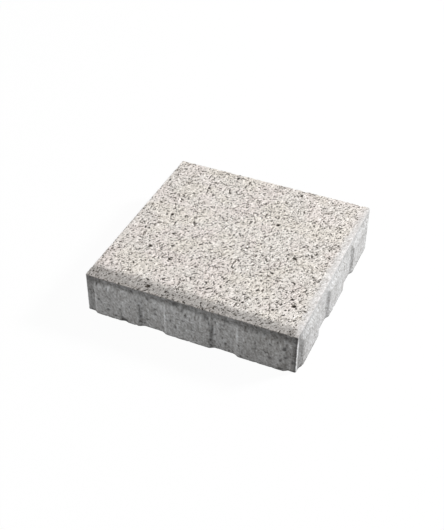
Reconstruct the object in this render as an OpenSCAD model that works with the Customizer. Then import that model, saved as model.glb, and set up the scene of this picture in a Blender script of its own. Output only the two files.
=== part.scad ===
// Square concrete paving stone with spacer lugs cast on its four sides.
// The bed face lies on z = 0 and the wearing face is up; x and y start at the stone's centre.

/* [Stone] */
// Length of each side, between the plain faces in the grooves
stone_side = 293; // [220:1:400]
// Height from the bed face to the wearing face
stone_h = 60; // [40:1:120]
// Radius of the four upright corners
corner_r = 2; // [1.5:0.25:4]

/* [Wearing face] */
// Width of the margin that rolls down to each edge of the wearing face
margin_w = 8; // [5:1:40]
// How far the margin has dropped where it reaches the edge
margin_drop = 0.75; // [0.5:0.25:4]
// Radius of the worn edge between the margin and the side
edge_r = 1; // [0.5:0.25:2.5]
// Radius of the largest pits that washing has left in the wearing face
pit_r = 2.5; // [1:0.25:4]

/* [Spacer lugs] */
// Number of lugs on each side
lug_count = 3; // [2:1:4]
// How far a lug stands out from the side
lug_depth = 3.5; // [2:0.5:6]
// Width of the groove between two lugs, at its root
groove_w = 22; // [8:1:40]
// Width of the plain strip between each corner and the lug beside it
corner_strip = 7.5; // [5:0.5:24]
// Width of the curved flank that joins a lug's face to the side
flank_w = 11; // [7:0.5:20]
// Height of the plain band above the lugs, down from the wearing face
band_h = 11; // [8:1:20]
// Height over which a lug's head curves back into the side
head_h = 9; // [6:0.5:18]

/* [Hidden] */
$fn = 96;
concrete = [0.74, 0.72, 0.70];
half = stone_side / 2;
// A solid that another one trims starts this much larger
spare = 10;
// Each arc is drawn larger by this factor than one that only touches what it joins,
// so it crosses its neighbours at about two degrees and the joint never depends on rounding
cross = 1.0005;
// The margin's arc is level at its inner end and drops to the edge
margin_r = (margin_w ^ 2 + margin_drop ^ 2) / (2 * margin_drop);
// The edge's arc joins the margin's arc, as drawn, from inside and then the side
gap_r = margin_r * cross - edge_r;
edge_z = stone_h - margin_r + sqrt(gap_r ^ 2 - (margin_w - edge_r) ^ 2);
// Where the two arcs join, measured out from the stone's middle
joint_x = half - margin_w + (margin_w - edge_r) * margin_r * cross / gap_r;
// Height at which the lugs' heads end, and width of a lug at its root and across its face
lug_h = stone_h - band_h;
lug_w = (stone_side - 2 * corner_strip - (lug_count - 1) * groove_w) / lug_count;
face_w = lug_w - 2 * flank_w;
// A flank is two equal arcs that meet half way up it
flank_r = (flank_w ^ 2 + lug_depth ^ 2) / (4 * lug_depth);
// A head is one arc from the lug's face to the side
head_r = (head_h ^ 2 + lug_depth ^ 2) / (2 * lug_depth);

// The main pits, row by row from the front: x and y as shares of half the stone's side,
// and the radius as a share of pit_r
pits = [
    [-0.42, -0.92, 1.0],
    [-0.25, -0.92, 0.8],
    [-0.46, -0.84, 0.8],
    [0.20, -0.78, 0.6],
    [0.41, -0.78, 0.8],
    [0.68, -0.76, 0.8],
    [0.72, -0.67, 0.7],
    [0.83, -0.65, 1.0],
    [0.57, -0.65, 0.7],
    [-0.44, -0.63, 0.6],
    [-0.24, -0.59, 0.7],
    [0.79, -0.57, 0.9],
    [-0.42, -0.50, 0.8],
    [0.40, -0.46, 0.7],
    [-0.66, -0.40, 0.9],
    [-0.18, -0.38, 0.7],
    [-0.48, -0.32, 0.7],
    [0.50, -0.31, 0.8],
    [0.15, -0.22, 0.6],
    [0.85, -0.22, 0.7],
    [-0.55, -0.15, 0.8],
    [0.61, -0.04, 0.9],
    [0.77, 0.10, 0.7],
    [-0.69, 0.12, 0.9],
    [0.65, 0.24, 0.7],
    [-0.23, 0.37, 0.6],
    [0.29, 0.37, 0.9],
    [0.66, 0.46, 0.7],
    [-0.60, 0.57, 0.6],
    [-0.55, 0.66, 0.9],
    [-0.91, 0.76, 0.6],
    [0.80, 0.89, 0.6],
    [0.33, 0.90, 0.8],
    [-0.35, 0.93, 0.9]
];
// A pit is cut by a ball with this many sides
pit_sides = 32;
// The ball's centre stands this share of its radius above the face
pit_rise = 0.3;

// Upright section through the stone: a block up to its height, with rolled margins and worn edges
module stone_section() {
    intersection() {
        translate([-half, 0])
            square([stone_side, stone_h]);
        rounded_block(half - margin_w, stone_h - margin_r, margin_r, half - margin_w);
        rounded_block(half - edge_r, edge_z, edge_r, joint_x);
    }
}

// A block up to edge_z, a narrower one up to stone_h, and on each side a circle that rounds their step
module rounded_block(centre_x, centre_z, radius, narrow) {
    translate([-half, 0])
        square([stone_side, edge_z]);
    translate([-narrow, 0])
        square([2 * narrow, stone_h]);
    for (side = [-1, 1])
        translate([side * centre_x, centre_z])
            circle(radius * cross);
}

// Plan of the stone with its round corners
module stone_plan() {
    inner = stone_side - 2 * corner_r;
    intersection() {
        square(stone_side, center = true);
        union() {
            square([stone_side, inner], center = true);
            square([inner, stone_side], center = true);
            for (x = [-1, 1], y = [-1, 1])
                translate([x * inner / 2, y * inner / 2])
                    circle(corner_r * cross);
        }
    }
}

// The stone's upright section, carried along the whole stone
module stone_bar() {
    length = stone_side + spare;
    translate([0, length / 2, 0])
        rotate([90, 0, 0])
            linear_extrude(length)
                stone_section();
}

// The stone without its lugs: what its plan and the bars along both axes have in common, less the pits
module plain_stone() {
    difference() {
        intersection() {
            linear_extrude(stone_h)
                stone_plan();
            stone_bar();
            rotate(90)
                stone_bar();
        }
        wearing_pits();
    }
}

// The balls that cut the main pits into the wearing face
module wearing_pits() {
    for (pit = pits)
        translate([pit.x * half, pit.y * half, stone_h + pit_rise * pit.z * pit_r])
            sphere(pit.z * pit_r, $fn = pit_sides);
}

// Plan of one lug, which stands out along +Y from a root inside the stone
module lug_plan() {
    middle = face_w / 2 + flank_w / 2;
    // The inner half of a flank runs this much past its middle, below the outer half's arc
    past = flank_w / 8;
    intersection() {
        translate([-middle - past, -lug_depth])
            square([2 * (middle + past), 2 * lug_depth]);
        union() {
            translate([-face_w / 2, -lug_depth])
                square([face_w, 2 * lug_depth]);
            for (side = [-1, 1])
                translate([side * face_w / 2, lug_depth - flank_r])
                    circle(flank_r * cross);
        }
    }
    difference() {
        translate([-lug_w / 2, -lug_depth])
            square([lug_w, 1.5 * lug_depth]);
        translate([-middle, 0])
            square([2 * middle, lug_depth]);
        for (side = [-1, 1])
            translate([side * lug_w / 2, flank_r])
                circle(flank_r * cross);
    }
}

// Upright section through one lug; the arc of its head runs on into the stone
module lug_section() {
    straight_h = lug_h - head_h;
    intersection() {
        translate([-lug_depth, 0])
            square([2 * lug_depth, lug_h + band_h / 2]);
        union() {
            translate([-lug_depth, 0])
                square([2 * lug_depth, straight_h]);
            translate([lug_depth - head_r, straight_h])
                circle(head_r * cross);
        }
    }
}

// One lug at its side of the stone: what its plan and its section have in common
module spacer_lug() {
    translate([0, half, 0])
        intersection() {
            linear_extrude(stone_h)
                lug_plan();
            translate([-lug_w / 2, 0, 0])
                rotate([90, 0, 90])
                    linear_extrude(lug_w)
                        lug_section();
        }
}

// The whole stone, with a row of lugs on each of its four sides
module paving_stone() {
    first = (lug_w - stone_side) / 2 + corner_strip;
    color(concrete) {
        plain_stone();
        for (turn = [0:90:270], i = [0:lug_count - 1])
            rotate(turn)
                translate([first + i * (lug_w + groove_w), 0, 0])
                    spacer_lug();
    }
}

paving_stone();
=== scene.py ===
"""Square concrete paving stone: a rough washed wearing face over plain cast sides with spacer lugs."""
import itertools
import math

import bpy
import numpy as np
from bpy.props import FloatProperty, FloatVectorProperty, IntProperty, PointerProperty
from bpy.types import Operator, Panel, PropertyGroup
from mathutils import Matrix, Vector


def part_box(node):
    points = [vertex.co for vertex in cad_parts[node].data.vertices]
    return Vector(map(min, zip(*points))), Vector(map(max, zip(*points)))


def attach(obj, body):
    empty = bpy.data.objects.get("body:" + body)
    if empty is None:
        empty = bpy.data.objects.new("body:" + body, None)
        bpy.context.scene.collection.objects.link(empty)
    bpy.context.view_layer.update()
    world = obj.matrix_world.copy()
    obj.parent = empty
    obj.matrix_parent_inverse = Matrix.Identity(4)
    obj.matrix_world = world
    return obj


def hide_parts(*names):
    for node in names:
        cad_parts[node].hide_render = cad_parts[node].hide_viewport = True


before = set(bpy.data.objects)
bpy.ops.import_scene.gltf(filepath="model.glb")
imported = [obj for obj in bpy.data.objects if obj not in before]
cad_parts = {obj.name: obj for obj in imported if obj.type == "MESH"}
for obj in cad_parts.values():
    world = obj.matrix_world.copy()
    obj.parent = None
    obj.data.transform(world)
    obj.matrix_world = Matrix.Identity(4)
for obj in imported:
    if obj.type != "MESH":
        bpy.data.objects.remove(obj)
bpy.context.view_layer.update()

bl_info = {
    "name": "Paving Stone",
    "version": (1, 0, 0),
    "blender": (4, 5, 0),
    "location": "View3D > Sidebar > Paving",
    "description": "Builds a cast concrete paving stone with its finish and a plain stage",
    "category": "Object",
}

MM = 0.001
STONE_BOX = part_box("paving_stone")
# Half the stone's width over its lugs, and its height
REACH = STONE_BOX[1].x
HEIGHT = STONE_BOX[1].z
# A direction with a part this long along an axis belongs to a straight side, and not to a round corner
STRAIGHT = 0.999
# Turns over the worn edge at which it has rows of vertices, and each row's share of the sides' finish
EDGE_TURNS = np.radians([22.5, 45, 67.5])
EDGE_SHARES = (0.2, 0.5, 0.8)
# Sizes of the rings of vertices across the bed face, as shares of its outline
BED_RINGS = (0.985, 0.9, 0.5)
PHOTO_LONG_SIDE = 530
SENSOR_WIDTH = 36.0
FLOOR_REACH = 6.0
# Power between linear light and the brightness a display shows
DISPLAY = 2.2

# The main pits, as in the solid: x and y as shares of half the stone's side, and the radius as a share
# of the largest
PITS = (
    (-0.42, -0.92, 1.0), (-0.25, -0.92, 0.8), (-0.46, -0.84, 0.8), (0.20, -0.78, 0.6), (0.41, -0.78, 0.8),
    (0.68, -0.76, 0.8), (0.72, -0.67, 0.7), (0.83, -0.65, 1.0), (0.57, -0.65, 0.7), (-0.44, -0.63, 0.6),
    (-0.24, -0.59, 0.7), (0.79, -0.57, 0.9), (-0.42, -0.50, 0.8), (0.40, -0.46, 0.7), (-0.66, -0.40, 0.9),
    (-0.18, -0.38, 0.7), (-0.48, -0.32, 0.7), (0.50, -0.31, 0.8), (0.15, -0.22, 0.6), (0.85, -0.22, 0.7),
    (-0.55, -0.15, 0.8), (0.61, -0.04, 0.9), (0.77, 0.10, 0.7), (-0.69, 0.12, 0.9), (0.65, 0.24, 0.7),
    (-0.23, 0.37, 0.6), (0.29, 0.37, 0.9), (0.66, 0.46, 0.7), (-0.60, 0.57, 0.6), (-0.55, 0.66, 0.9),
    (-0.91, 0.76, 0.6), (0.80, 0.89, 0.6), (0.33, 0.90, 0.8), (-0.35, 0.93, 0.9)
)
# Dark marks on the front side, carved as dents and darkened, partly as painted shade; the tall narrow
# ones lie beside the lugs' flanks. Place along it, height, half height and half width in millimetres,
# and strength
MARKS = (
    (-135, 34, 3, 1.5, 0.5), (-127, 26, 1.5, 2.5, 0.8), (-124, 22, 1, 3, 0.7), (-120, 49, 1.5, 1.5, 0.8),
    (-114, 12, 2, 2, 1.3), (-103, 6, 2, 2, 0.8), (-99, 11, 1, 2, 0.7), (-94, 7, 1.5, 2.5, 0.8),
    (-90, 2, 3.5, 4.5, 2.0), (-80, 53, 3, 2, 0.7), (-73, 42, 2, 1, 0.6), (-68, 26, 11, 1.2, 0.5),
    (-67, 17, 2, 1.6, 1.2), (-68, 8, 2, 2, 0.6), (-62, 6, 2, 1.5, 0.6), (-58, 14, 1, 3, 0.9),
    (-57, 48, 3, 2, 0.6), (-47, 34, 1.5, 2.5, 0.6), (-47, 26, 1.5, 2.5, 0.7), (-36, 8, 1.5, 2, 1.0),
    (-25, 57, 2, 3, 0.6), (-24, 26, 2, 2, 0.6), (-18, 54, 4, 5, 0.6), (-17, 18, 3, 2.5, 0.4),
    (-8, 47, 1.5, 2.5, 0.6), (-6, 33, 1.5, 2.5, 0.5), (25, 47, 2.5, 4, 0.7), (30, 41, 4, 1.2, 0.7),
    (33, 26, 14, 2, 0.4), (34, 32, 3, 1.5, 0.6), (32, 14, 2, 1.5, 1.0), (33, 3, 1, 3, 0.7),
    (42, 57, 1.5, 2.5, 0.7), (46, 42, 1.5, 3, 0.5), (52, 13, 2, 2, 0.6), (53, 51, 1.5, 3, 0.7),
    (93, 28, 12, 1.5, 0.3), (108, 23, 1.2, 3, 0.7), (113, 16, 1.5, 3, 1.0), (122, 44, 1.2, 1.2, 0.9),
    (126, 57, 1.5, 1.5, 0.7), (127, 17, 3, 2, 0.5), (127, 3, 1.5, 4, 0.9), (131, 37, 3, 2.2, 1.3),
    (132, 53, 1.5, 3, 0.6), (133, 22, 2, 3, 0.5), (142, 15, 3, 2, 0.7)
)
# Pale marks on the front side, partly painted light down the lugs' flanks, given in the same way
PALE = (
    (-133, 22, 18, 1.2, 1.2), (-126, 46, 4, 3, 0.7), (-113, 47, 4, 1.2, 1.4), (-64, 21, 7, 1.2, 1.3),
    (-38, 41, 6, 1.5, 0.8), (-32, 22, 18, 1.5, 1.2), (-27, 26, 2, 2, 1.0), (-14, 21, 4, 1, 1.0),
    (17, 19, 2, 2, 0.7), (36, 30, 9, 1.2, 1.2), (68, 33, 15, 2, 1.4), (74, 18, 2.5, 2.5, 1.0),
    (77, 32, 3.5, 1, 1.2), (104, 48, 2, 2, 1.0), (123, 14, 2.5, 2.5, 0.7), (131, 48, 2, 3, 1.1),
    (137, 43, 3, 2, 1.2)
)


class StoneSizes(PropertyGroup):
    """The stone's sizes that its surface is worked out from."""

    lug_depth: FloatProperty(
        name="Lug depth", description="How far a lug stands out", default=3.5 * MM, unit="LENGTH")
    lug_pitch: FloatProperty(
        name="Lug pitch", description="From lug to lug", default=100 * MM, unit="LENGTH")
    lug_face: FloatProperty(
        name="Lug face", description="Width of a lug's face", default=56 * MM, unit="LENGTH")
    flank: FloatProperty(
        name="Flank", description="Width of a lug's curved flank", default=11 * MM, unit="LENGTH")
    band: FloatProperty(
        name="Band", description="Plain height above the lugs", default=11 * MM, unit="LENGTH")
    head: FloatProperty(
        name="Head", description="Height of a lug's curved head", default=9 * MM, unit="LENGTH")
    corner: FloatProperty(
        name="Corner", description="Radius of the upright corners", default=2 * MM, unit="LENGTH")
    edge: FloatProperty(
        name="Edge", description="Radius of the wearing face's edge", default=1 * MM, unit="LENGTH")
    margin: FloatProperty(
        name="Margin", description="Width of the rolled margin", default=8 * MM, unit="LENGTH")
    drop: FloatProperty(
        name="Drop", description="Fall of the rolled margin", default=0.75 * MM, unit="LENGTH")
    pit: FloatProperty(
        name="Pit", description="Radius of the largest pits", default=2.5 * MM, unit="LENGTH")
    cells: IntProperty(
        name="Cells", description="Grid cells along each side", default=240, min=40, max=256)
    rows: IntProperty(
        name="Rows", description="Rows of faces down each side", default=30, min=8, max=32)
    seed: IntProperty(
        name="Seed", description="Picks the relief", default=11, min=0)


class StoneFinish(PropertyGroup):
    """The stone's colours, in linear light."""

    face: FloatVectorProperty(
        name="Wearing face", description="Washed face",
        default=(0.790, 0.737, 0.690), size=3, subtype="COLOR", min=0, max=1)
    # Partly painted shade: the colour that creases, pits and dark flecks of the face are darkened to
    hollow: FloatVectorProperty(
        name="Hollows", description="Dark creases and pits of the face",
        default=(0.050, 0.042, 0.034), size=3, subtype="COLOR", min=0, max=1)
    # Painted shade: the face's darker edge zone at the front, where it rolls away from the lamp
    front_margin_shade: FloatVectorProperty(
        name="Front margin", description="Greyer edge zone of the face at the front",
        default=(0.42, 0.398, 0.378), size=3, subtype="COLOR", min=0, max=1)
    right_margin: FloatVectorProperty(
        name="Right margin", description="Smooth pale edge zone of the face at the right",
        default=(0.70, 0.678, 0.662), size=3, subtype="COLOR", min=0, max=1)
    side: FloatVectorProperty(
        name="Sides", description="Cast sides",
        default=(0.54, 0.538, 0.535), size=3, subtype="COLOR", min=0, max=1)
    # Painted shade: the darker band under the edge, which is left off the lit right side
    band: FloatVectorProperty(
        name="Band", description="Dark band under the edge",
        default=(0.27, 0.268, 0.265), size=3, subtype="COLOR", min=0, max=1)
    arris: FloatVectorProperty(
        name="Arris", description="Pale line down the front right corner",
        default=(0.84, 0.84, 0.84), size=3, subtype="COLOR", min=0, max=1)


class StageSetup(PropertyGroup):
    """The camera that matches the photograph, and the lamps."""

    azimuth: FloatProperty(
        name="Azimuth", description="Camera's turn round the stone",
        default=math.radians(23.381), subtype="ANGLE")
    elevation: FloatProperty(
        name="Elevation", description="Camera's height", default=math.radians(39.181), subtype="ANGLE")
    roll: FloatProperty(
        name="Roll", description="Camera's tilt to its side", default=math.radians(0.573), subtype="ANGLE")
    distance: FloatProperty(
        name="Distance", description="Camera to its target", default=1.38255, unit="LENGTH")
    focal_px: FloatProperty(
        name="Focal length", description="In the photograph's pixels", default=985.36)
    target: FloatVectorProperty(
        name="Target", description="Point in the picture's middle",
        default=(-0.02173, 0.01006, 0.0), size=3, subtype="TRANSLATION")
    key: FloatProperty(
        name="Key lamp", description="Power of the lamp behind", default=300.0)
    key_place: FloatVectorProperty(
        name="Key place", description="Where the lamp behind stands",
        default=(3.06, 2.75, 2.75), size=3, subtype="TRANSLATION")
    fill: FloatProperty(
        name="Fill lamp", description="Power of the weak lamp in front", default=8.0)
    fill_place: FloatVectorProperty(
        name="Fill place", description="Where the weak lamp stands",
        default=(-1.1, -1.3, 0.5), size=3, subtype="TRANSLATION")
    lamp_size: FloatProperty(
        name="Lamp size", description="Side of each square lamp", default=0.9, unit="LENGTH")
    lamp_aim: FloatVectorProperty(
        name="Lamp aim", description="Point that both lamps face",
        default=(0, 0, 0.03), size=3, subtype="TRANSLATION")
    sky: FloatProperty(
        name="Sky", description="Strength of the even light", default=0.26)


class Grain:
    """Gradient noise in space, about -1 to 1, the same for the same seed.

    A point's value blends the slopes at the eight lattice corners round it, each weighted by
    6t^5 - 15t^4 + 10t^3.
    """

    count = 256
    spread = 1.7

    def __init__(self, seed):
        draw = np.random.default_rng(seed)
        self.order = draw.permutation(self.count)
        slopes = draw.normal(size=(self.count, 3))
        self.slopes = slopes / np.linalg.norm(slopes, axis=1, keepdims=True)

    def __call__(self, points, size):
        place = points / size
        cell = np.floor(place).astype(int)
        part = place - cell
        fade = part ** 3 * (part * (part * 6 - 15) + 10)
        total = np.zeros(points.shape[:-1])
        for corner in itertools.product((0, 1), repeat=3):
            x, y, z = np.moveaxis((cell + corner) % self.count, -1, 0)
            slope = self.order[(self.order[(self.order[x] + y) % self.count] + z) % self.count]
            weight = np.where(corner, fade, 1 - fade).prod(axis=-1)
            total += weight * (self.slopes[slope] * (part - corner)).sum(axis=-1)
        return self.spread * total


def smooth(value, low, high):
    """0 below low, 1 above high, and 3t^2 - 2t^3 between."""
    t = np.clip((value - low) / (high - low), 0, 1)
    return t * t * (3 - 2 * t)


def even(noise):
    """The noise scaled to a spread of 1."""
    return noise / noise.std()


def flow(points, angle):
    """The points, and the same carried a step at a time along a field of directions, both ways."""
    steps = 3
    step = 1.2 * MM
    yield points
    for way in (-1, 1):
        place = points.copy()
        for _ in range(steps):
            turn = angle(place)
            place = place + way * step * np.stack([np.cos(turn), np.sin(turn), 0 * turn], axis=-1)
            yield place


def drawn_out(grain, points, size, angle):
    """Noise drawn out in strokes: its sum along a field of directions, scaled to a spread of 1."""
    return even(sum(grain(place, size) for place in flow(points, angle)))


def face_relief(x, y, sizes):
    """How deep the wearing face lies under its highest points, its dark hollows, and its fine speckle.

    The depth is broad waves less lumps, fine grains and strokes drawn out along a wandering direction,
    with creases where a drawn-out noise is strong, small holes, and the main pits, each falling off as
    exp(-r^4). It is calmer along the right edge, where the face is smooth, and all four edges crumble a
    little. The hollows are above 0 inside creases, holes and pits and fall off round them, and the
    material darkens them, partly as painted shade. The speckle is mostly the strokes.
    """
    points = np.stack([x, y, np.zeros_like(x)], axis=-1)
    broad, wander, fine, crack, gate, spot, dust = (Grain(sizes.seed + i) for i in range(7))
    half = REACH - sizes.lug_depth
    lean, swing = math.radians(64), 1.7

    def angle(place):
        return lean + swing * wander(place, 22 * MM)

    ragged = 3 * MM * gate(points, 12 * MM)
    calm = 1 - 0.6 * smooth(x + ragged, half - 14 * MM, half - 6 * MM)
    waves = broad(points, 45 * MM)
    patches = broad(points + 0.3, 17 * MM)
    lumps = even(fine(points, 6 * MM))
    grains = even(dust(points, 2.4 * MM))
    strokes = drawn_out(fine, points, 2.3 * MM, angle)
    line = drawn_out(crack, points, 2.5 * MM, angle) + 0.6 * patches + 0.6 * gate(points, 8 * MM)
    crease = smooth(line, 1.45, 1.95)
    holes = spot(points, 3.0 * MM)
    pit = smooth(holes, 0.38, 0.56)
    inside = 3 * (calm * holes - 0.5)
    deepest, widest, rim_width = 2.2, 1.4, 0.22
    for px, py, share in PITS:
        near = np.hypot(x - px * half, y - py * half) / (share * sizes.pit)
        pit = np.maximum(pit, deepest * share * np.exp(-near ** 4))
        inside = np.maximum(inside, widest * share - rim_width - near)
    # Heights in millimetres
    wave_h, lump_h, grain_h, stroke_h, crease_h, pit_h = 0.08, 0.12, 0.18, 0.14, 0.9, 0.8
    rough = -lump_h * lumps - grain_h * grains - stroke_h * strokes + crease_h * crease + pit_h * pit
    depth = wave_h * waves + calm * rough
    # This many percent of the points, the highest ones, have no depth but that of the crumbled edges
    highest = 12
    depth = np.maximum(depth - np.percentile(depth, highest), 0)
    from_edge = half - np.maximum(np.abs(x), np.abs(y))
    crumb_depth, crumb_gap = 2.0, 0.25
    crumbs = np.maximum(spot(points, 5 * MM) - crumb_gap, 0) * crumb_depth
    crumbled = smooth(-from_edge, -4 * MM, 0) * crumbs
    speckle = calm * (0.3 * grains + 1.0 * strokes + 0.1 * lumps + 0.1 * patches)
    hollow = np.maximum(calm * (line + 1) - 2.9, inside)
    return (depth + crumbled) * MM, hollow, even(speckle)


class Outline:
    """The stone's outline seen from above, as points on a core square and outward directions from it."""

    def __init__(self, sizes):
        self.sizes = sizes
        self.half = REACH - sizes.lug_depth
        n = sizes.cells
        side = np.linspace(-1, 1, n + 1)
        u, v = np.meshgrid(side, side, indexing="ij")
        self.grid = self.rounded(u, v)
        i = np.arange(n)
        front, right, back, left = (i, 0 * i), (0 * i + n, i), (n - i, 0 * i + n), (0 * i, n - i)
        self.index = tuple(np.concatenate(pair) for pair in zip(front, right, back, left))
        loop = self.grid[self.index]
        core = self.half - sizes.corner
        self.core = np.clip(loop, -core, core)
        away = loop - self.core
        self.out = away / np.linalg.norm(away, axis=1, keepdims=True)
        along = np.stack([-self.out[:, 1], self.out[:, 0]], axis=-1)
        self.along = (self.core * along).sum(axis=1)
        self.straight = np.abs(self.out).max(axis=1) > STRAIGHT

    def rounded(self, u, v):
        """A square grid inside the worn edge, whose corners follow a quarter disc: x sqrt(1 - y^2 / 2)."""
        reach = self.half - self.sizes.edge
        radius = self.sizes.corner - self.sizes.edge
        grid = np.stack([u, v], axis=-1) * reach
        over = np.clip((np.abs(grid) - (reach - radius)) / radius, 0, None)
        both = over[..., ::-1]
        disc = over * np.sqrt(1 - np.minimum(both, 1) ** 2 / 2)
        corner = over.min(axis=-1, keepdims=True) > 0
        return np.where(corner, np.sign(grid) * (reach - radius + radius * disc), grid)

    def margin(self):
        """How far the rolled margin has dropped.

        It is R - sqrt(R^2 - t^2) at t from the margin's inner end. At the corners it is the fourth root of
        the sum of both sides' fourth powers.
        """
        s = self.sizes
        radius = (s.margin ** 2 + s.drop ** 2) / (2 * s.drop)
        t = np.clip(np.abs(self.grid) - (self.half - s.margin), 0, None)
        fall = radius - np.sqrt(radius ** 2 - t ** 2)
        return (fall ** 4).sum(axis=-1) ** 0.25

    def lugs(self, z):
        """How far the lugs stand out at height z: the lesser of their plan and their upright section.

        The plan is level across a lug's face and then two equal arcs, which meet half way down the flank.
        The section is level up to the head and then one arc. The round corners have no lug.
        """
        s = self.sizes
        nearest = np.abs(self.along - s.lug_pitch * np.clip(np.round(self.along / s.lug_pitch), -1, 1))
        run = np.clip(nearest - s.lug_face / 2, 0, s.flank)
        radius = (s.flank ** 2 + s.lug_depth ** 2) / (4 * s.lug_depth)
        upper = s.lug_depth - radius + np.sqrt(radius ** 2 - np.minimum(run, s.flank / 2) ** 2)
        lower = radius - np.sqrt(radius ** 2 - np.minimum(s.flank - run, s.flank / 2) ** 2)
        plan = np.where(run < s.flank / 2, upper, lower) * self.straight
        head_radius = (s.head ** 2 + s.lug_depth ** 2) / (2 * s.lug_depth)
        rise = np.clip(z - (HEIGHT - s.band - s.head), 0, s.head)
        section = s.lug_depth - head_radius + np.sqrt(head_radius ** 2 - rise ** 2)
        return np.minimum(plan, np.maximum(section, 0))


def front_marks(points, places):
    """Each mark's strength and its shape, exp(-r^4) at r half widths and half heights from its middle."""
    for along, height, tall, wide, strength in places:
        across = (points[:, 0] - along * MM) / (wide * MM)
        up = (points[:, 2] - height * MM) / (tall * MM)
        yield strength, np.exp(-np.hypot(across, up) ** 4)


def side_relief(points, out, sizes):
    """How deep the cast sides lie behind their highest points, their dark hollows, and their speckle.

    The depth is slow waves, a fine grain, a few blow holes and the front's dark marks, and the right side
    is smoother. The hollows are the holes and the marks, which the material darkens, partly as painted
    shade. The speckle is the grain with some streaks that run up and down, and it is higher in the front's
    pale marks, some of which are painted light beside the lugs' flanks.
    """
    broad, fine, spot, run = (Grain(sizes.seed + 20 + i) for i in range(4))
    right = np.maximum(out[:, 0], 0)
    front = out[:, 1] < -STRAIGHT
    waves = 1 + broad(points, 24 * MM)
    grain = fine(points, 2.4 * MM) + 0.35 * fine(points, 6 * MM)
    upright = [1, 1, 0.14]
    streak = run(points * upright, 2.6 * MM)
    hole = smooth(spot(points, 4.0 * MM), 0.60, 0.80)
    for strength, shape in front_marks(points, MARKS):
        hole = np.maximum(hole, strength * front * shape)
    # Heights in millimetres
    wave_h, grain_h, hole_h = 0.18 - 0.13 * right, 0.10 - 0.04 * right, 0.8
    depth = wave_h * waves + grain_h * (1 + grain) + hole_h * hole
    speckle = (1 - 0.15 * right) * (0.95 * grain / grain.std() + 0.2 * streak / streak.std())
    paleness, darkness = 1.8, 1.7
    # Pale marks, partly painted light down the lugs' flanks
    for strength, shape in front_marks(points, PALE):
        speckle = speckle + paleness * strength * front * shape
    return np.maximum(depth, 0) * MM, np.clip(darkness * hole, 0, 1), speckle


def edge_rows(outline, rim, sizes):
    """Rows of points over the worn edge, on a quarter circle that starts at the rim's heights."""
    for turn in EDGE_TURNS:
        out = sizes.corner - sizes.edge * (1 - math.sin(turn))
        z = rim - sizes.edge * (1 - math.cos(turn))
        yield np.column_stack([outline.core + outline.out * out, z])


def side_rows(outline, start, sizes):
    """Rows of points down the sides from the heights at their start, with their hollows and their speckle.

    A point stands out by the lugs, less the side's relief, and less crumbs along the lowest edge.
    """
    crumble = Grain(sizes.seed + 40)
    crumb_size, crumb_depth = 7 * MM, 0.8 * MM
    # Shares of the height at which the relief has its full depth and the crumbs start
    relief_full, crumbs_start = 0.04, 0.97
    for t in np.linspace(0, 1, sizes.rows + 1):
        z = start * (1 - t)
        plain = np.column_stack([outline.core + outline.out * sizes.corner, z])
        relief, hollow, speckle = side_relief(plain, outline.out, sizes)
        crumbs = np.maximum(crumble(plain, crumb_size), 0) * crumb_depth * smooth(t, crumbs_start, 1)
        out = outline.lugs(z) - relief * smooth(t, 0, relief_full) - crumbs
        yield plain + np.column_stack([outline.out * out[:, None], 0 * z]), hollow, speckle


def stone_faces(index, count, rows):
    """Quads of the square grid and of the rows below its edge loop, and triangles round the last point."""
    around = len(index[0])
    grid = np.arange(count * count).reshape(count, count)
    quads = [np.stack([grid[:-1, :-1], grid[1:, :-1], grid[1:, 1:], grid[:-1, 1:]], axis=-1).reshape(-1, 4)]
    upper = grid[index]
    for row in range(rows):
        lower = count * count + row * around + np.arange(around)
        quads.append(np.stack([upper, lower, np.roll(lower, -1), np.roll(upper, -1)], axis=-1))
        upper = lower
    last = np.full(around, upper[-1] + 1)
    fan = np.stack([upper, last, np.roll(upper, -1)], axis=-1)
    return np.concatenate(quads), fan


def stone_surface(sizes):
    """Vertices, faces and surface attributes of the whole stone.

    A square grid makes the wearing face. Its edge loop is carried down as rows: over the worn edge on a
    quarter circle, down the sides with their lugs, and in across the bed face in shrinking rings to one
    point.
    """
    outline = Outline(sizes)
    depth, hollow, speckle = face_relief(outline.grid[..., 0], outline.grid[..., 1], sizes)
    top = HEIGHT - outline.margin() - depth
    rim = top[outline.index]
    edge = list(edge_rows(outline, rim, sizes))
    walls, wall_hollows, wall_speckles = zip(*side_rows(outline, rim - sizes.edge, sizes))
    rings = [walls[-1] * [share, share, 0] for share in BED_RINGS]
    face = np.concatenate([outline.grid, top[..., None]], axis=-1).reshape(-1, 3)
    vertices = np.concatenate([face, *edge, *walls, *rings, np.zeros((1, 3))])
    quads, fan = stone_faces(outline.index, sizes.cells + 1, len(edge) + len(walls) + len(rings))
    around = len(outline.core)
    flat = np.zeros(len(face))
    bed = np.zeros(len(rings) * around + 1)
    below = len(edge) + len(walls)
    attributes = {
        "hollow": [hollow.ravel(), *[hollow[outline.index]] * len(edge), *wall_hollows, bed],
        "speckle": [speckle.ravel(), *[speckle[outline.index]] * len(edge), *wall_speckles, bed],
        "side": [flat, np.repeat(EDGE_SHARES, around), np.ones(len(walls) * around), bed + 1],
        "to_right": [flat, np.tile(outline.out[:, 0], below), bed],
        "to_front": [flat, np.tile(-outline.out[:, 1], below), bed],
    }
    return vertices, quads, fan, {name: np.concatenate(parts) for name, parts in attributes.items()}


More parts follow.
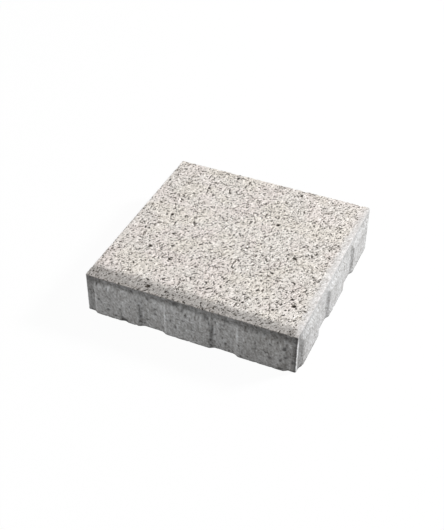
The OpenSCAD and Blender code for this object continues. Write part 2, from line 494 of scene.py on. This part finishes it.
def mesh_object(name, vertices, quads, fan, attributes):
    """A smooth closed mesh object at the origin, with one number at each vertex for each attribute."""
    mesh = bpy.data.meshes.new(name)
    sizes = np.concatenate([np.full(len(quads), 4), np.full(len(fan), 3)])
    corners = np.concatenate([quads.ravel(), fan.ravel()])
    mesh.vertices.add(len(vertices))
    mesh.vertices.foreach_set("co", vertices.astype(np.float32).ravel())
    mesh.loops.add(len(corners))
    mesh.loops.foreach_set("vertex_index", corners.astype(np.int32))
    mesh.polygons.add(len(sizes))
    mesh.polygons.foreach_set("loop_start", (np.cumsum(sizes) - sizes).astype(np.int32))
    mesh.polygons.foreach_set("use_smooth", np.ones(len(sizes), bool))
    mesh.update(calc_edges=True)
    mesh.validate()
    for key, values in attributes.items():
        layer = mesh.attributes.new(key, "FLOAT", "POINT")
        layer.data.foreach_set("value", values.astype(np.float32))
    made = bpy.data.objects.new(name, mesh)
    bpy.context.scene.collection.objects.link(made)
    return made


class Signal:
    """One output in a material's nodes. Arithmetic on it adds Math nodes."""

    def __init__(self, nodes, socket):
        self.nodes = nodes
        self.socket = socket

    def math(self, operation, *values):
        return self.nodes.add("ShaderNodeMath", {"operation": operation}, dict(enumerate(values)))[0]

    def __add__(self, other):
        return self.math("ADD", self, other)

    def __sub__(self, other):
        return self.math("SUBTRACT", self, other)

    def __rsub__(self, other):
        return self.math("SUBTRACT", other, self)

    def __mul__(self, other):
        return self.math("MULTIPLY", self, other)

    def __pow__(self, other):
        return self.math("POWER", self, other)

    __radd__ = __add__
    __rmul__ = __mul__

    def most(self, other):
        return self.math("MAXIMUM", self, other)

    def least(self, other):
        return self.math("MINIMUM", self, other)

    def between(self, low, high):
        """0 below low, 1 above high and a smooth step between."""
        settings = {"interpolation_type": "SMOOTHSTEP"}
        inputs = {"Value": self, "From Min": low, "From Max": high}
        return self.nodes.add("ShaderNodeMapRange", settings, inputs)[0]


class Nodes:
    """A material's or world's node tree, which any node is added to by its type, settings and inputs."""

    def __init__(self, owner):
        owner.use_nodes = True
        self.tree = owner.node_tree
        self.tree.nodes.clear()

    def add(self, kind, settings=None, inputs=None):
        """Adds a node, and gives its outputs, in order, as signals."""
        node = self.tree.nodes.new(kind)
        for key, value in (settings or {}).items():
            setattr(node, key, value)
        for key, value in (inputs or {}).items():
            self.join(node.inputs[key], value)
        return [Signal(self, socket) for socket in node.outputs]

    def join(self, socket, value):
        """Links a signal to the socket, or sets its number, vector or opaque colour."""
        if isinstance(value, Signal):
            self.tree.links.new(value.socket, socket)
        elif isinstance(socket.default_value, float):
            socket.default_value = value
        else:
            opaque = (1.0,) * (len(socket.default_value) - len(value))
            socket.default_value = (*value, *opaque)

    def mix(self, factor, a, b, blend="MIX"):
        """Colour a where factor is 0, and b, or its product with a, where factor is 1."""
        settings = {"data_type": "RGBA", "blend_type": blend, "clamp_factor": True}
        return self.add("ShaderNodeMix", settings, {0: factor, 6: a, 7: b})[2]

    def noise(self, place, size, detail=2.0, rough=0.5):
        """Noise with lumps of about the given size, from 0 to 1."""
        inputs = {"Vector": place, "Scale": 1 / size, "Detail": detail, "Roughness": rough}
        return self.add("ShaderNodeTexNoise", {"noise_dimensions": "3D"}, inputs)[0]

    def dashes(self, place, degrees, width, stretch, bend):
        """Noise drawn out along a direction that bends about over the given length, from 0 to 1."""
        inputs = {"Vector": place, "Scale": 1 / bend}
        curl = self.add("ShaderNodeTexNoise", {"noise_dimensions": "3D"}, inputs)[1]
        shift = 0.95 * bend
        inputs = {0: curl, 1: (shift, shift, 0), 2: place}
        bent = self.add("ShaderNodeVectorMath", {"operation": "MULTIPLY_ADD"}, inputs)[0]
        inputs = {"Vector": bent, "Rotation": (0, 0, math.radians(degrees)), "Scale": (stretch, 1, 1)}
        drawn = self.add("ShaderNodeMapping", {"vector_type": "TEXTURE"}, inputs)[0]
        return self.noise(drawn, width, 1.0)

    def gamma(self, colour, power):
        return self.add("ShaderNodeGamma", None, {0: colour, 1: power})[0]

    def attribute(self, name):
        return self.add("ShaderNodeAttribute", {"attribute_type": "GEOMETRY", "attribute_name": name})[2]


def scaled(colour, factor):
    """The colour made lighter or darker by a factor."""
    return [channel * factor for channel in colour]


class Concrete:
    """The stone's material: pale washed face and margins, grey cast sides, band of painted shade, grain all
    over.

    Zones and patterns that several parts of the look share are made first, as signals.
    """

    roughness = 0.92
    gloss = 0.25
    # Zones beside the edges: how far in from its edge each one starts, and where it is full
    right_zone = (14 * MM, 5 * MM)
    front_zone = (27 * MM, 12 * MM)
    front_rim = (6 * MM, 0)
    left_rim = (5 * MM, 0)
    back_rim = (5 * MM, 0)
    arris_zone = (5 * MM, 3.5 * MM)
    wide_strip = (8 * MM, 5 * MM)
    narrow_strip = (4 * MM, 2 * MM)
    left_strip = (14 * MM, 11 * MM)
    dark_strip = (12 * MM, 9 * MM)
    dark_run = (50 * MM, 12 * MM)
    # Heights between which the foot's shadow and the arris end and the dark band of painted shade starts
    foot_heights = (0, 4 * MM)
    arris_heights = (46 * MM, 54 * MM)
    band_heights = (HEIGHT - 14 * MM, HEIGHT - 7 * MM)
    # Share of a direction that points to the right or the front, where that side's look starts and is full
    facing = (0.4, 0.9)

    def __init__(self, finish, half):
        self.finish = finish
        self.half = half
        self.material = bpy.data.materials.new("concrete")
        n = self.nodes = Nodes(self.material)
        self.place = n.add("ShaderNodeTexCoord")[3]
        # Another place to read a noise at, so that two patterns of one size don't fall together
        apart = (0.5, 0.3, 0.1)
        self.aside = n.add("ShaderNodeVectorMath", {"operation": "ADD"}, {0: self.place, 1: apart})[0]
        self.x, self.y, self.z = n.add("ShaderNodeSeparateXYZ", None, {0: self.place})
        self.forward = 0 - self.y
        self.leftward = 0 - self.x
        self.side = n.attribute("side")
        self.on_top = 1 - self.side
        self.hollow = n.attribute("hollow")
        self.speckle = n.attribute("speckle")
        self.right_side = n.attribute("to_right").between(*self.facing)
        self.front_side = n.attribute("to_front").between(*self.facing)
        self.add_margins()
        self.add_patterns()

    def by_edge(self, towards, zone):
        """0 before a zone beside an edge starts and 1 where it is full; towards grows to that edge."""
        start, full = zone
        return towards.between(self.half - start, self.half - full)

    def add_margins(self):
        """The face's margins, with borders that wander by a few millimetres, and the front corners."""
        x, y = self.x, self.y
        self.ragged = (self.nodes.noise(self.place, 10 * MM, 3.0) - 0.5) * 14 * MM
        self.right = self.by_edge(x + self.ragged * 0.8 - y * y * 0.18, self.right_zone)
        # The front margin is painted shade along the front edge, a little lighter at the very rim
        front = self.by_edge(self.ragged * 1.2 - y - x * 0.03, self.front_zone)
        self.front = front * (1 - self.by_edge(self.ragged - y, self.front_rim) * 0.2)
        self.near_corner = self.by_edge(self.forward, self.arris_zone)

    def add_patterns(self):
        """Short and long dashes, spots in clusters, and where the face is busier."""
        n = self.nodes
        self.cluster = (n.noise(self.place, 8 * MM, 2.0) - 0.5) * 0.2
        self.busy = n.noise(self.aside, 24 * MM, 1.0).between(0.35, 0.65)
        self.dashes = n.dashes(self.place, 66, 1.3 * MM, 5.5, 15 * MM)
        self.long_dashes = n.dashes(self.aside, 61, 1.3 * MM, 8.0, 20 * MM)
        self.spots = n.noise(self.aside, 2.2 * MM, 0.0) + self.cluster

    def face_colour(self):
        """The washed face with grey, rosy and yellow tints in broad patches, and its margins."""
        n, finish = self.nodes, self.finish
        grey, pink, cream = (0.990, 1.002, 1.006), (1.008, 0.994, 1.006), (0.999, 1.002, 0.982)
        rosy = n.noise(self.place, 42 * MM, 1.0).between(0.40, 0.60)
        yellow = n.noise(self.aside, 42 * MM, 1.0).between(0.45, 0.65)
        tint = n.mix(yellow, n.mix(rosy, grey, pink), cream)
        face = n.mix(1.0, finish.face, tint, "MULTIPLY")
        face = n.mix(self.right, face, finish.right_margin)
        # Painted shade along the front edge
        return n.mix(self.front * (1 - self.right * 0.5), face, finish.front_margin_shade)

    def face_marks(self):
        """How dark the face is in its flecks, strokes and dots and in the mesh's own hollows, 0 to 1."""
        # Flecks, strokes, dots and the mesh's hollows are partly painted shade of creases and pits, partly
        # darker grains
        fleck = (self.dashes + self.cluster + self.busy * 0.02).between(0.66, 0.70)
        uneven = (self.nodes.noise(self.aside, 12 * MM, 1.0) - 0.5) * 0.24
        stroke = (self.long_dashes + uneven).between(0.63, 0.67)
        dot = self.spots.between(0.67, 0.69)
        cut = self.hollow.between(-0.15, 0.1)
        marks = (fleck * 0.55 + stroke * 0.45) * (1 - self.front * 0.35) + dot * 0.95
        return (marks * (1 - self.right * 0.80) + cut).least(1.0)

    def side_shadows(self):
        """How dark the sides are by the corners, along the foot and near the front of the right side."""
        near = self.by_edge
        strips = (near(self.x, self.wide_strip) * 0.3 + near(self.x, self.narrow_strip) * 0.4
                  + near(self.leftward, self.left_strip) * 0.4)
        foot = 1 - (self.z + self.ragged * 0.2).between(*self.foot_heights)
        dark = near(self.forward, self.dark_strip) * 0.36 + near(self.forward, self.dark_run) * 0.2
        dim = self.right_side * (1 - self.near_corner) * dark
        return (self.front_side * strips + foot * 0.25 + dim).least(1.0)

    def side_colour(self):
        """The cast sides: cloudy grey, a blotchy band of painted shade, shadows, holes and a pale arris."""
        n, side = self.nodes, self.finish.side
        cloud = n.noise(self.place, 32 * MM, 2.0).between(0.35, 0.7)
        cast = n.mix(cloud * 0.4, scaled(side, 1.05), scaled(side, 0.88))
        # Painted shade: a blotchy dark band under the edge, on every side but the lit right one
        shaded_band = (self.z + self.ragged * 0.35 + self.x * 0.01).between(*self.band_heights)
        blotch = n.noise(self.place, 5 * MM, 2.0).between(0.35, 0.65)
        cast = n.mix(shaded_band * (1 - self.right_side) * (0.72 + blotch * 0.5), cast, self.finish.band)
        cast = n.mix(self.side_shadows(), cast, scaled(side, 0.2))
        # Holes and dark marks: partly painted shade, weaker on the lit right side
        cast = n.mix(self.hollow * (0.85 - self.right_side * 0.45), cast, scaled(side, 0.24))
        arris = self.right_side * self.near_corner * (1 - self.z.between(*self.arris_heights))
        return n.mix(arris, cast, self.finish.arris)

    def slow_shade(self):
        """Slow changes of brightness along the front and the right side and at the left and back edges."""
        y, half = self.y, self.half
        along_front = self.x.between(0, half) * 0.22 + self.leftward.between(0, half) * 0.08 + 0.06
        shade = 1 - self.front_side * along_front - self.right_side * (0.01 - y * 0.35)
        left, back = self.by_edge(self.leftward, self.left_rim), self.by_edge(y, self.back_rim)
        shade = shade + left * 0.12 - back * 0.15
        return shade - y.between(0, half) * (self.right_side * 0.08 + self.right * self.on_top * 0.07)

    def shade(self):
        """How much brighter or darker than its plain colour each place is, by grain and slow changes."""
        grit = self.nodes.noise(self.place, 1.5 * MM, 2.0, 0.6) - 0.5
        lip = self.spots.between(0.58, 0.66) * self.on_top
        streaks = (1 - self.dashes * 0.9 - self.long_dashes * 1.1) * self.on_top * (1 - self.right * 0.15)
        fine = self.speckle * (0.04 + self.side * 0.19) + grit * (0.6 + self.side * 0.4)
        grain = streaks * 0.85 + lip * 0.25 + fine
        return (1 + grain * (1 - self.on_top * (0.18 - self.busy * 0.36))) * self.slow_shade()

    def colour(self):
        """The whole stone's colour.

        Face, marks and sides are mixed as a display shows them. The shade adds nearly the same step to
        every channel, a little less to red and more to blue: light grains are cooler, dark ones warmer.
        """
        n = self.nodes
        darkest = 0.05
        channels = (0.96, 1.0, 1.04)
        hollow = [channel ** (1 / DISPLAY) for channel in self.finish.hollow]
        face = n.mix(self.face_marks() * self.on_top, n.gamma(self.face_colour(), 1 / DISPLAY), hollow)
        colour = n.mix(self.side, face, n.gamma(self.side_colour(), 1 / DISPLAY))
        green = n.add("ShaderNodeSeparateColor", None, {0: colour})[1]
        step = green * (self.shade().most(darkest) ** (1 / DISPLAY) - 1)
        inputs = {0: step, 1: channels, 2: colour}
        shaded = n.add("ShaderNodeVectorMath", {"operation": "MULTIPLY_ADD"}, inputs)[0]
        return n.gamma(shaded, DISPLAY)

    def finished(self):
        """The material, with its colour and a fine bump on a dull surface."""
        n = self.nodes
        pores = n.noise(self.place, 1.1 * MM, 3.0, 0.6)
        bump = n.add("ShaderNodeBump", None, {"Strength": 0.5, "Distance": 0.6 * MM, "Height": pores})[0]
        inputs = {"Base Color": self.colour(), "Roughness": self.roughness,
                  "Specular IOR Level": self.gloss, "Normal": bump}
        shader = n.add("ShaderNodeBsdfPrincipled", None, inputs)[0]
        n.add("ShaderNodeOutputMaterial", None, {0: shader})
        return self.material


class PAVING_OT_stone(Operator):
    """Build the paving stone over its solid, with its relief and finish"""

    bl_idname = "paving.stone"
    bl_label = "Paving Stone"

    def execute(self, context):
        sizes = context.scene.stone_sizes
        stone = mesh_object("washed_concrete_stone", *stone_surface(sizes))
        half = REACH - sizes.lug_depth
        stone.data.materials.append(Concrete(context.scene.stone_finish, half).finished())
        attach(stone, "root")
        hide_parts("paving_stone")
        return {"FINISHED"}


def seen_directly(nodes):
    """1 where it is seen by the camera, in gloss or through glass, 0 where its light falls on something."""
    path = nodes.add("ShaderNodeLightPath")
    outputs = {signal.socket.name: signal for signal in path}
    return outputs["Is Camera Ray"].most(outputs["Is Glossy Ray"]).most(outputs["Is Transmission Ray"])


def floor_finish():
    """Pale floor: white with a faint shadow when seen directly, and grey in the light it sends on."""
    white, grey = (1, 1, 1), (0.42, 0.42, 0.42)
    glow = 0.96
    material = bpy.data.materials.new("pale_floor")
    n = Nodes(material)
    seen = seen_directly(n)
    plain = n.add("ShaderNodeBsdfDiffuse", None, {"Color": n.mix(seen, grey, white)})[0]
    bright = n.add("ShaderNodeEmission", None, {"Color": white, "Strength": 1.0})[0]
    shader = n.add("ShaderNodeMixShader", None, {0: seen * glow, 1: plain, 2: bright})[0]
    n.add("ShaderNodeOutputMaterial", None, {0: shader})
    return material


def even_sky(strength):
    """White when seen directly, and an even weak light to everything else."""
    world = bpy.data.worlds.new("studio")
    n = Nodes(world)
    level = seen_directly(n) * (1 - strength) + strength
    back = n.add("ShaderNodeBackground", None, {0: (1, 1, 1), 1: level})[0]
    n.add("ShaderNodeOutputWorld", None, {0: back})
    bpy.context.scene.world = world


def lamp(name, place, power, setup):
    """A square soft lamp at a place, turned towards the lamps' aim."""
    data = bpy.data.lights.new(name, "AREA")
    data.energy = power
    data.size = setup.lamp_size
    made = bpy.data.objects.new(name, data)
    bpy.context.scene.collection.objects.link(made)
    made.location = place
    made.rotation_euler = (Vector(setup.lamp_aim) - Vector(place)).to_track_quat("-Z", "Y").to_euler()


def camera(setup):
    """The camera that gives the photograph's view."""
    a, e = setup.azimuth, setup.elevation
    back = Vector((math.sin(a) * math.cos(e), -math.cos(a) * math.cos(e), math.sin(e)))
    data = bpy.data.cameras.new("photo_view")
    data.sensor_width = SENSOR_WIDTH
    data.lens = setup.focal_px * SENSOR_WIDTH / PHOTO_LONG_SIDE
    made = bpy.data.objects.new("photo_view", data)
    bpy.context.scene.collection.objects.link(made)
    right = Vector((math.cos(a), math.sin(a), 0))
    turn = Matrix((right, back.cross(right), back)).transposed().to_4x4()
    made.matrix_world = (Matrix.Translation(Vector(setup.target) + back * setup.distance) @ turn
                         @ Matrix.Rotation(setup.roll, 4, "Z"))
    bpy.context.scene.camera = made


def floor():
    """A wide level floor under the stone."""
    r = FLOOR_REACH
    mesh = bpy.data.meshes.new("floor")
    mesh.from_pydata([(-r, -r, 0), (r, -r, 0), (r, r, 0), (-r, r, 0)], [], [(0, 1, 2, 3)])
    mesh.materials.append(floor_finish())
    made = bpy.data.objects.new("floor", mesh)
    bpy.context.scene.collection.objects.link(made)


class PAVING_OT_stage(Operator):
    """Set up the pale floor, the soft lamps and the photograph's camera"""

    bl_idname = "paving.stage"
    bl_label = "Stage"

    def execute(self, context):
        setup = context.scene.stage_setup
        floor()
        even_sky(setup.sky)
        lamp("key", setup.key_place, setup.key, setup)
        lamp("fill", setup.fill_place, setup.fill, setup)
        camera(setup)
        context.scene.view_settings.view_transform = "Standard"
        return {"FINISHED"}


class PAVING_PT_panel(Panel):
    """The stone's sizes, colours and stage, and the buttons that build them"""

    bl_idname = "PAVING_PT_panel"
    bl_label = "Paving Stone"
    bl_space_type = "VIEW_3D"
    bl_region_type = "UI"
    bl_category = "Paving"

    def draw(self, context):
        scene = context.scene
        for owner, button in ((scene.stone_sizes, None), (scene.stone_finish, "paving.stone"),
                              (scene.stage_setup, "paving.stage")):
            column = self.layout.column(align=True)
            for key in type(owner).__annotations__:
                column.prop(owner, key)
            if button:
                self.layout.operator(button)


CLASSES = (StoneSizes, StoneFinish, StageSetup, PAVING_OT_stone, PAVING_OT_stage, PAVING_PT_panel)


def register():
    for item in CLASSES:
        bpy.utils.register_class(item)
    bpy.types.Scene.stone_sizes = PointerProperty(type=StoneSizes)
    bpy.types.Scene.stone_finish = PointerProperty(type=StoneFinish)
    bpy.types.Scene.stage_setup = PointerProperty(type=StageSetup)


def unregister():
    del bpy.types.Scene.stage_setup
    del bpy.types.Scene.stone_finish
    del bpy.types.Scene.stone_sizes
    for item in reversed(CLASSES):
        bpy.utils.unregister_class(item)


def main():
    register()
    bpy.ops.paving.stone()
    bpy.ops.paving.stage()


if __name__ == "__main__":
    main()
